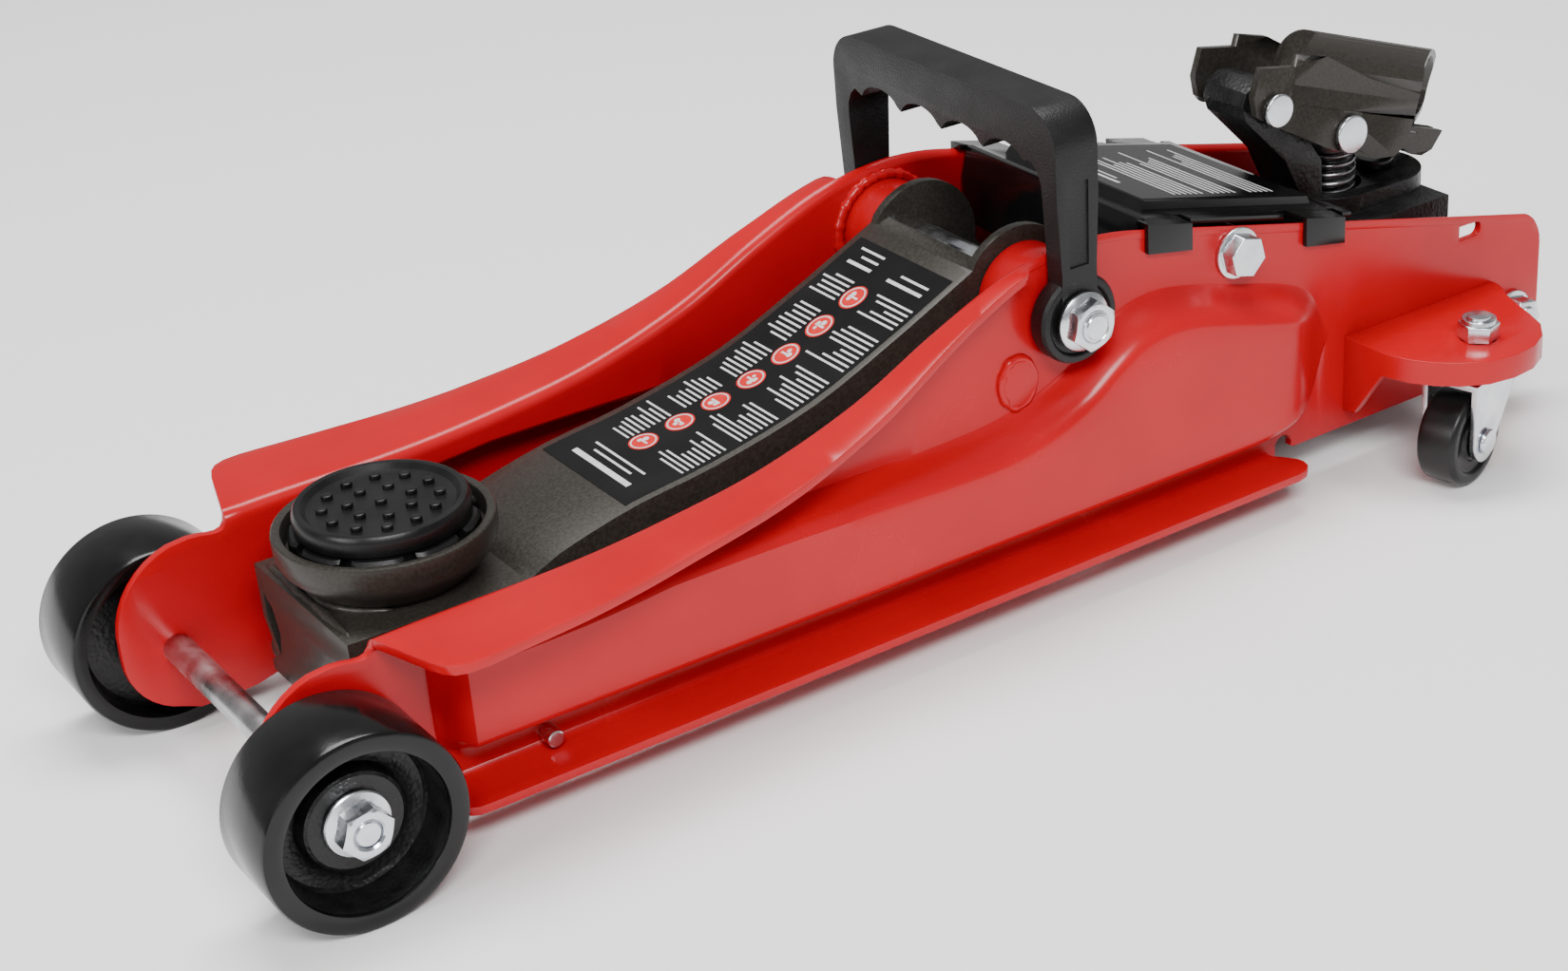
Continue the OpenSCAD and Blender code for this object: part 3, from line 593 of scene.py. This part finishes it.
for r, a in places:
    hold(stud)
    bpy.ops.object.duplicate()
    c = bpy.context.object
    c.data.transform(Matrix.Translation((r * math.cos(math.radians(a)) / 1000,
                                         r * math.sin(math.radians(a)) / 1000, 0)))
    studs.append(c)
bpy.data.objects.remove(stud)
for i in range(9):
    wing = []
    for j in range(9):
        a = math.radians(i * 40 + 4 * j - 16)
        edge = 29.2 if j in (0, 8) else 30.3
        wing.append([P(56 + r * math.cos(a), r * math.sin(a), z) for r, z in
                     ((24, 75.2), (edge, 75.8), (edge, 80.8), (edge - 1, 81.9), (24, 82.3))])
    studs.append(drawn("collar wing", wing))
ring = turned("collar ring", [(23, 74.6), (28.9, 75.2), (28.9, 78.6), (23, 79)], (56, 0, 0), "z")
studs.append(ring)
hold(pad)
for c in studs:
    c.select_set(True)
bpy.ops.object.join()
bpy.ops.object.shade_smooth_by_angle(angle=math.radians(30))
fitted(pad, rubber, "saddle", "saddle_pad")

# Saddle bracket: bent plate with weld beads where its front wall meets the cup's seat.
dressed("saddle_bracket", arm_grey, "bracket", 1.2, 3)
for i, path in enumerate(([P(27, -30 + j * 2, 62.8) for j in range(31)],
                          [P(56 + 27 * math.cos(math.radians(a)), 27 * math.sin(math.radians(a)), 63.4)
                           for a in range(115, 246, 5)])):
    b = bead("saddle_weld_%d" % i, path, 1.7)
    b.data.materials.append(arm_grey)
    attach(b, "bracket")

# Lift arm: a pressed steel channel with rounded top corners and a round cheek each side of the
# main shaft. A printed film with safety symbols is stuck on its top face.
top_of_arm = [(92, 62), (100, 65.6), (112, 69), (130, 73), (160, 77), (200, 86.2), (234, 100), (258, 111), (274, 118.5)]


def smooth(points, xs):
    return [(x, between(points, x)) for x in xs]


crest = smooth(top_of_arm, [92, 96, 100, 106, 112, 120, 130, 140, 150, 160, 170, 180, 190, 200, 210, 220, 230,
                            240, 250, 258, 266, 272])
lower = [(272, 99), (262, 76), (250, 68), (225, 57), (180, 45), (130, 39), (90, 36.5), (58, 36.2)]
skin = slab("lift_arm", [(66, 57), (84, 57.6)] + crest + [(262, 92)] + lower[1:] + [(52, 40), (52, 52)],
            "y", -30.5, 30.5)
hold(skin)
bpy.ops.object.mode_set(mode="EDIT")
bm = bmesh.from_edit_mesh(skin.data)
for e in bm.edges:
    a, b = (v.co for v in e.verts)
    mid = (a + b) / 2
    x = (mid.x - AXLE) * 1000
    e.select = (abs(a.y - b.y) < 1e-5 and 84 < x < 272 and mid.z * 1000 > between(top_of_arm, x) - 2.5
                and (b - a).length < 0.02)
bmesh.update_edit_mesh(skin.data)
bpy.ops.mesh.bevel(offset=0.005, segments=5, affect="EDGES")
bpy.ops.object.mode_set(mode="OBJECT")
inner = slab("arm hollow", [(40, 20), (40, 54), (86, 54)] + [(x, z - 3.5) for x, z in crest[1:]]
             + [(300, 125), (300, 20)], "y", -27, 27)
cut(skin, inner)
shape = (arc(287, 102.5, 24, 140, -10, 16) + [(327, 76), (328.5, 66), (323, 56), (312, 55.5), (300, 72),
         (262, 76), (250, 84), (262, 104)])
for y in (-30.5, 27):
    cut(skin, slab("cheek", shape, "y", y, y + 3.5), "UNION")
cut(skin, slab("front eye", arc(56, 47, 11, 0, 345, 20), "y", -30.4, -27.1), "UNION")
cut(skin, slab("front eye", arc(56, 47, 11, 0, 345, 20), "y", 27.1, 30.4), "UNION")
eased(skin, 0.7)
fitted(skin, arm_grey, "arm", "lift_arm")
dressed("arm_front_pin", bare_steel, "arm", 0.6)
dressed("lever_pin", bare_steel, "arm", 0.5)
dressed("lever_roller", bare_steel, "arm", 0.5)
dressed("level_link_right", arm_grey, "links", 0.7)
dressed("level_link_left", arm_grey, "links", 0.7)
dressed("link_front_pin", bare_steel, "links", 0.5)

film = finish("printed_film", ((0.002, 0.002, 0.002), (0.004, 0.004, 0.004)), (0.2, 0.28), coat=0.0, mottle=40,
              bumps=((500, 0.03),))
ink_white = finish("white_ink", ((0.55, 0.55, 0.55), (0.66, 0.66, 0.66)), (0.35, 0.45), mottle=300, bumps=())
ink_red = finish("red_ink", ((0.55, 0.012, 0.012), (0.62, 0.018, 0.018)), (0.3, 0.4), mottle=300, bumps=())


def on_arm(x, y, lift):
    """A point on the arm's top face, raised along its slope's normal."""
    z = between(top_of_arm, x)
    slope = math.atan2(between(top_of_arm, x + 0.5) - between(top_of_arm, x - 0.5), 1)
    return P(x - math.sin(slope) * lift, y, z + math.cos(slope) * lift)


def patch(name, x0, x1, y0, y1, lift=0.12, steps=None):
    """A thin printed patch that follows the arm's curve."""
    n = steps or max(2, int((x1 - x0) / 4) + 1)
    xs = [x0 + (x1 - x0) * i / (n - 1) for i in range(n)]
    rings = [[on_arm(x, y0, lift), on_arm(x, y1, lift), on_arm(x, y1, lift - 0.1), on_arm(x, y0, lift - 0.1)]
             for x in xs]
    return drawn(name, rings)


label = patch("arm_label", 127, 261, -27.5, 27.5, 0.14, 36)
label.data.materials.append(film)
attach(label, "arm")
marks = []
import random
draw = random.Random(7)
row = 150.0
while row < 246:
    if (row - 150) % 21 < 18.5:
        for y0, y1 in ((-25.5, -25.5 + draw.uniform(10, 23)), (9.5, 9.5 + draw.uniform(9, 16))):
            marks.append(patch("line", row, row + 0.75, y0, y1, 0.2, 2))
    row += 2.1
for x, y0, y1, w in ((133, -18, 18, 2.2), (138, -12, 12, 0.9), (141, -16, 16, 0.9), (250.5, -22, -2, 1.3),
                     (254, -22, -6, 0.9), (250.5, 8, 22, 1.3), (254, 8, 18, 0.9), (257, 8, 22, 0.9)):
    marks.append(patch("line", x, x + w, y0, y1, 0.2, 2))
hold(marks[0])
for o in marks[1:]:
    o.select_set(True)
bpy.ops.object.join()
marks = bpy.context.object
marks.name = "arm_label_lines"
marks.data.materials.append(ink_white)
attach(marks, "arm")


def disc(name, x, y, r, lift, ring=0, sides=28):
    """A round printed spot, or a ring, lying on the arm's top face."""
    outer = [(x + r * math.cos(6.2832 * i / sides), y + r * math.sin(6.2832 * i / sides)) for i in range(sides)]
    rings = [[on_arm(a, b, lift - 0.1) for a, b in outer], [on_arm(a, b, lift) for a, b in outer]]
    if ring:
        k = ring / r
        rings.append([on_arm(x + (a - x) * k, y + (b - y) * k, lift) for a, b in outer])
        rings.append([on_arm(x + (a - x) * k, y + (b - y) * k, lift - 0.1) for a, b in outer])
        rings.append(rings[0])
        return drawn(name, rings, caps=False)
    return drawn(name, rings)


spots, glyphs = [], []
for i in range(7):
    x, y = 152.5 + i * 14.6, 3.2
    spots.append(disc("spot", x, y, 5.2, 0.24))
    glyphs.append(disc("ring", x, y, 4.6, 0.32, 4.1))
    for j in range(2 + i % 2):
        a = 0.5 + i * 1.1 + j * 1.4
        glyphs.append(disc("dot", x + 1.7 * math.cos(a), y + 1.7 * math.sin(a), 1.1 - 0.2 * j, 0.32, 0, 12))
    glyphs.append(patch("bar", x - 0.4, x + 0.4, y - 2.4, y + 2.4, 0.32, 2))
for group, name, ink in ((spots, "arm_symbols", ink_red), (glyphs, "arm_symbol_marks", ink_white)):
    hold(group[0])
    for o in group[1:]:
        o.select_set(True)
    bpy.ops.object.join()
    o = bpy.context.object
    o.name = name
    o.data.materials.append(ink)
    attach(o, "arm")

# Carry handle: a glass-filled nylon bail moulded in one piece. Its grip has four finger scallops
# and fine grain, its legs a sunk rib panel, and each round foot turns on the main shaft.
nylon = finish("grained_nylon", ((0.003, 0.003, 0.003), (0.007, 0.007, 0.007)), (0.36, 0.5), mottle=70,
               bumps=((1300, 0.45), (120, 0.05)))


def bail_outline():
    out = [(-64.5, 107)] + [(-64.5, 163 - i * 0) for i in range(1)]
    out += [(-64.5 + 14 - 14 * math.cos(math.radians(a)), 163 + 14 * math.sin(math.radians(a)))
            for a in range(9, 91, 9)]
    right = [(-y, z) for y, z in reversed(out)]
    under = [(56.5, 107), (56.5, 146), (56.2, 151), (54.4, 155), (51.5, 157.6)]
    for y in (36, 12, -12, -36):
        under += [(y + 11.5 * math.cos(math.radians(a)), 154.2 + 11.5 * math.sin(math.radians(a)) * 0.62)
                  for a in range(14, 167, 14)]
    under += [(-51.5, 157.6), (-54.4, 155), (-56.2, 151), (-56.5, 146), (-56.5, 107)]
    return out + right + under


bail = slab("carry_handle", bail_outline(), "x", 278, 296)
for o in (slab("leg taper", [(269, 80), (278.9, 80), (279.6, 120), (278.2, 147), (277.9, 190), (269, 190)],
               "y", -80, 80),
          slab("leg taper", [(305, 80), (295.1, 80), (294.4, 120), (295.8, 147), (296.1, 190), (305, 190)],
               "y", -80, 80)):
    cut(bail, o)
for s in (-1, 1):
    foot_disc = turned("foot", [(5.6, -56.2), (14, -56.2), (15.6, -56.9), (16, -58), (16, -63), (15.2, -64.2),
                                (14, -64.5), (13.2, -64.5), (12.6, -64), (12.2, -63.2), (5.6, -63.2)],
                       (287, 0, 102.5), "y", 64)
    if s > 0:
        o = flipped(foot_disc, "foot left")
        bpy.data.objects.remove(foot_disc)
        foot_disc = o
    cut(bail, foot_disc, "UNION")
    cut(bail, slab("rib panel", [(283, 122), (291, 122), (291.6, 152), (282.4, 152)], "y",
                   -64.6 if s < 0 else 63.7, -63.7 if s < 0 else 64.6))
    cut(bail, slab("bolt seat", arc(287, 102.5, 12.2, 0, 345, 24), "y",
                   -66 if s < 0 else 65.6, -65.6 if s < 0 else 66))
eased(bail, 1.6, 4, 30)
fitted(bail, nylon, "grip", "carry_handle")

# Cover plate: black sheet pressed with a raised panel; four tabs hook over the side plates and
# the front edge turns down. A second printed film lies on the panel.
sheet_black = finish("black_sheet", ((0.003, 0.003, 0.003), (0.006, 0.006, 0.006)), (0.14, 0.24), coat=0.0,
                     mottle=35, bumps=((300, 0.05),))
dressed("cover_plate", sheet_black, "chassis", 0.9, 3)


def on_cover(x, y, lift):
    z = 122.45 - (x - 325) * 20.6 / 86 + 5
    return P(x + 0.233 * lift, y, z + 0.97 * lift)


def flat_patch(x0, x1, y0, y1, lift):
    rings = [[on_cover(x, y0, lift), on_cover(x, y1, lift), on_cover(x, y1, lift - 0.1),
              on_cover(x, y0, lift - 0.1)] for x in (x0, x1)]
    return drawn("cover print", rings)


panel = flat_patch(338, 412, -36, 36, 0.14)
panel.name = "cover_label"
panel.data.materials.append(film)
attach(panel, "chassis")
lines = [flat_patch(344, 345.6, -15, 15, 0.2), flat_patch(348, 348.9, -9, 9, 0.2)]
row = 356.0
while row < 406:
    if (row - 356) % 17 < 14:
        lines.append(flat_patch(row, row + 0.8, -32, -32 + draw.uniform(40, 62), 0.2))
    row += 2.6
hold(lines[0])
for o in lines[1:]:
    o.select_set(True)
bpy.ops.object.join()
lines = bpy.context.object
lines.name = "cover_label_lines"
lines.data.materials.append(ink_white)
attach(lines, "chassis")

# Tie bolts: zinc plated, with blank domed heads under the cover and flanged nuts at the rear.
dressed("cover_tie_bolt", zinc, "chassis", 0.5, 2)
dressed("rear_tie_bolt", zinc, "chassis", 0.5, 2)

# Power unit: a cast block and post between the plates, a turned cylinder and a tin reservoir.
# Everything but the sliding steel is painted black.
dressed("pump_block", cast_black, "chassis", 1.2, 3)
dressed("reservoir", gloss_black, "chassis", 0.8)
dressed("ram_cylinder", bare_steel, "chassis", 0.5)
dressed("filler_plug", gloss_black, "chassis", 0.6)
dressed("socket_pivot_pin", zinc, "chassis", 0.9, 3)
dressed("ram_rod", bare_steel, "ram", 0.6)
dressed("crosshead", cast_black, "ram", 0.9, 3)
dressed("release_valve", zinc, "valve", 0.5)

# Springs: close-wound return springs beside the ram and a stout coil round the pump plunger.
spring_steel = finish("spring_steel", ((0.20, 0.20, 0.21), (0.36, 0.36, 0.37)), (0.2, 0.35), metal=1.0,
                      mottle=150, bumps=((900, 0.06),))


def coil(name, start, along, length, r, wire, turns, sides=8, per_turn=20):
    """One continuous helix of round wire with its ends closed."""
    n = int(turns * per_turn)
    u = Vector(along)
    a = Vector((0, 1, 0)) if abs(u.y) < 0.5 else Vector((1, 0, 0))
    b = u.cross(a)
    path = [start + u * (length * i / n / 1000) + (a * math.cos(6.2832 * i / per_turn)
            + b * math.sin(6.2832 * i / per_turn)) * (r / 1000) for i in range(n + 1)]
    rings = []
    for i, p in enumerate(path):
        t = (path[min(i + 1, n)] - path[max(i - 1, 0)]).normalized()
        c = start + u * (length * i / n / 1000)
        s = (p - c).normalized()
        w = t.cross(s)
        rings.append([p + (s * math.cos(6.2832 * j / sides) + w * math.sin(6.2832 * j / sides)) * wire / 1000
                      for j in range(sides)])
    o = drawn(name, rings)
    bpy.ops.object.shade_smooth()
    o.data.materials.append(spring_steel)
    return o


low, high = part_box("return_springs")
for side, y in (("right", -40), ("left", 40)):
    o = coil("return_spring_" + side, Vector((low.x + 0.0018, y / 1000, 0.054)), (1, 0, 0),
             (high.x - low.x) * 1000 - 3.6, 3.1, 1.2, 26, 8, 14)
    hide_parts("return_springs")
    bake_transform(o)
low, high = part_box("pump_spring")
mid = (low + high) / 2
o = coil("pump_spring_coil", Vector((mid.x, mid.y, low.z + 0.0014)), (0, 0, 1), (high.z - low.z) * 1000 - 2.8,
         9.4, 1.4, 4.6, 10, 28)
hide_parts("pump_spring")
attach(o, "plunger")
dressed("pump_plunger", bare_steel, "plunger", 0.7)

# Handle socket: a rolled tube seam-welded between two cheeks, with a clamp lug below its mouth.
# It is painted like the arm and hangs on two zinc plated pins.
TILT = math.radians(19)


def S(u, y, v):
    """A point in the socket's own directions: u along the tube, y across, v up from the pivot pin."""
    return P(417 + u * math.cos(TILT) + v * math.sin(TILT), y, 133.4 - u * math.sin(TILT) + v * math.cos(TILT))


socket = copied("handle_socket", "handle_socket", whole_faces=False)
crown = ([(-18.1, 3), (-18.1, 10)] + [(-18.1 * math.cos(math.radians(a)), 10 + 18.4 * math.sin(math.radians(a)))
         for a in range(12, 169, 12)] + [(18.1, 10), (18.1, 3)])
wrap = drawn("wrapped sheet", [[S(30 + 1.28 * y, y, v) for y, v in crown], [S(116.8, y, v) for y, v in crown]])
bore = [(12.8 * math.cos(6.2832 * i / 48), 13.3 + 12.8 * math.sin(6.2832 * i / 48)) for i in range(48)]
cut(wrap, drawn("bore", [[S(u, y, v) for y, v in bore] for u in (10, 125)]))
cut(wrap, drawn("throat", [[S(u, y, v) for u, v in ((0, -5), (0, 16), (26, 16), (26, -5))] for y in (-15, 15)]))
scoop = ([(72, -30), (75, -18.2), (80, -12), (90, -4), (101, 4), (111, 11), (116.5, 17), (118, 30)]
         + [(140, 30), (140, -30)])
for part, r in ((socket, 3.3), (wrap, 3.2)):
    peg = [(96 + r * math.cos(math.tau * i / 24), 5 + r * math.sin(math.tau * i / 24)) for i in range(24)]
    cut(part, drawn("scoop", [[S(u, y, v) for u, y in scoop] for v in (-2, 40)]))
    cut(part, drawn("lock hole", [[S(u, y, v) for u, y in peg] for v in (20, 40)]))
cut(socket, wrap, "UNION")
eased(socket, 1.0, 3)
fitted(socket, arm_grey, "socket", "handle_socket")
dressed("socket_drive_pin", zinc, "socket", 0.9, 3)

# Rear casters: drawn brackets spot welded to the plates, bent zinc plated forks with a swivel
# race, riveted axles and black nylon rollers. A lock nut holds each stem.
roller_black = finish("nylon_roller", ((0.004, 0.004, 0.004), (0.008, 0.008, 0.008)), (0.25, 0.38), mottle=60,
                      bumps=((900, 0.08),))
for side in ("right", "left"):
    stem, hub = (sum(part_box(node + side), Vector()) / 2 for node in ("caster_nut_", "caster_wheel_"))
    trail = Vector((hub.x - stem.x, hub.y - stem.y, 0)).normalized()
    across, up = Vector((-trail.y, trail.x, 0)), Vector((0, 0, 1))
    bracket = copied("caster_bracket_" + side)
    cut(bracket, slab("stem hole", arc((stem.x - AXLE) * 1000, stem.y * 1000, 6.9, 0, 354, 60), "z", 46, 58))
    fitted(eased(bracket, 2.2, 4, 40), red_enamel, "chassis", "caster_bracket_" + side)
    dressed("caster_fork_" + side, zinc, "fork_" + side, 0.5, 3)
    dressed("caster_axle_" + side, zinc, "fork_" + side, 0.7, 3)
    dressed("caster_nut_" + side, zinc, "fork_" + side, 0.5, 2)
    wheel = copied("caster_wheel_" + side)
    cut(wheel, drawn("axle hole", [[hub + across * end + (trail * math.cos(math.tau * i / 60)
                                    + up * math.sin(math.tau * i / 60)) * 0.00325 for i in range(60)]
                                   for end in (-0.02, 0.02)]))
    fitted(eased(wheel, 0.7, 3), roller_black, "caster_" + side, "caster_wheel_" + side)
